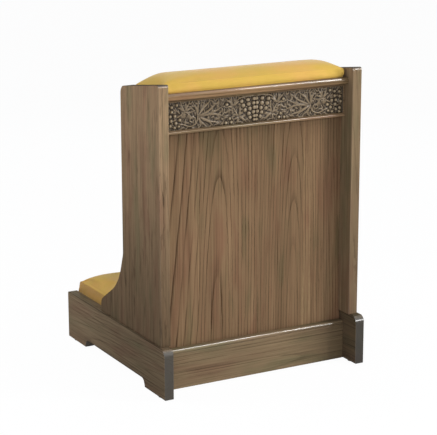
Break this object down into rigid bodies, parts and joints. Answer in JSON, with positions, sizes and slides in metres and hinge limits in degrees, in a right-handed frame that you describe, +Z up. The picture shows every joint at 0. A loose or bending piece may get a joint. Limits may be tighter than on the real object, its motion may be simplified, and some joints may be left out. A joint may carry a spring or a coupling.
{
  "type": "prayer kneeler",
  "caption": "Oak prayer kneeler with swept uprights, carved vine frieze, padded sloping arm rest, book shelf and padded kneeling board.",
  "frame": {"origin": "on the floor under the middle of the base, halfway across its width and halfway along the base rails", "axes": "+Z up; +X across, to the right of someone who faces the carved front; +Y from the carved front towards the kneeling side"},
  "size_m": [0.61, 0.604, 0.8245],
  "materials": {
    "oak": "stained oak under semi-gloss lacquer, grain upright",
    "oak_base": "stained oak under semi-gloss lacquer, grain lengthwise",
    "carved_oak": "carved oak, dark stain left in the hollows",
    "plywood": "bare birch plywood",
    "dowel": "bare beech",
    "foam": "open-cell foam",
    "cover_cloth": "plain woven upholstery cloth, golden yellow",
    "steel": "zinc-plated wood screws",
    "nylon": "dark nylon"
  },
  "bodies": {
    "root": {"left_upright": "oak", "right_upright": "oak", "left_base_rail": "oak_base", "right_base_rail": "oak_base", "front_plinth_rail": "oak", "front_panel": "oak", "frieze_board": "oak_base", "frieze_carving": "carved_oak", "frieze_bead": "oak", "arm_rest_board": "oak", "left_arm_cleat": "oak_base", "right_arm_cleat": "oak_base", "arm_pad_board": "plywood", "arm_pad_foam": "foam", "arm_pad_cover": "cover_cloth", "book_shelf": "oak", "shelf_lip": "oak", "kneeler_front_rail": "oak_base", "kneeler_rear_rail": "oak_base", "left_kneeler_cleat": "oak_base", "right_kneeler_cleat": "oak_base", "kneeler_pad_board": "plywood", "kneeler_pad_foam": "foam", "kneeler_pad_cover": "cover_cloth", "corner_blocks": "oak_base", "upright_dowels": "dowel", "cross_rail_dowels": "dowel", "cleat_screws": "steel", "arm_pad_screws": "steel", "kneeler_pad_screws": "steel", "glides": "nylon"}
  },
  "joints": []
}
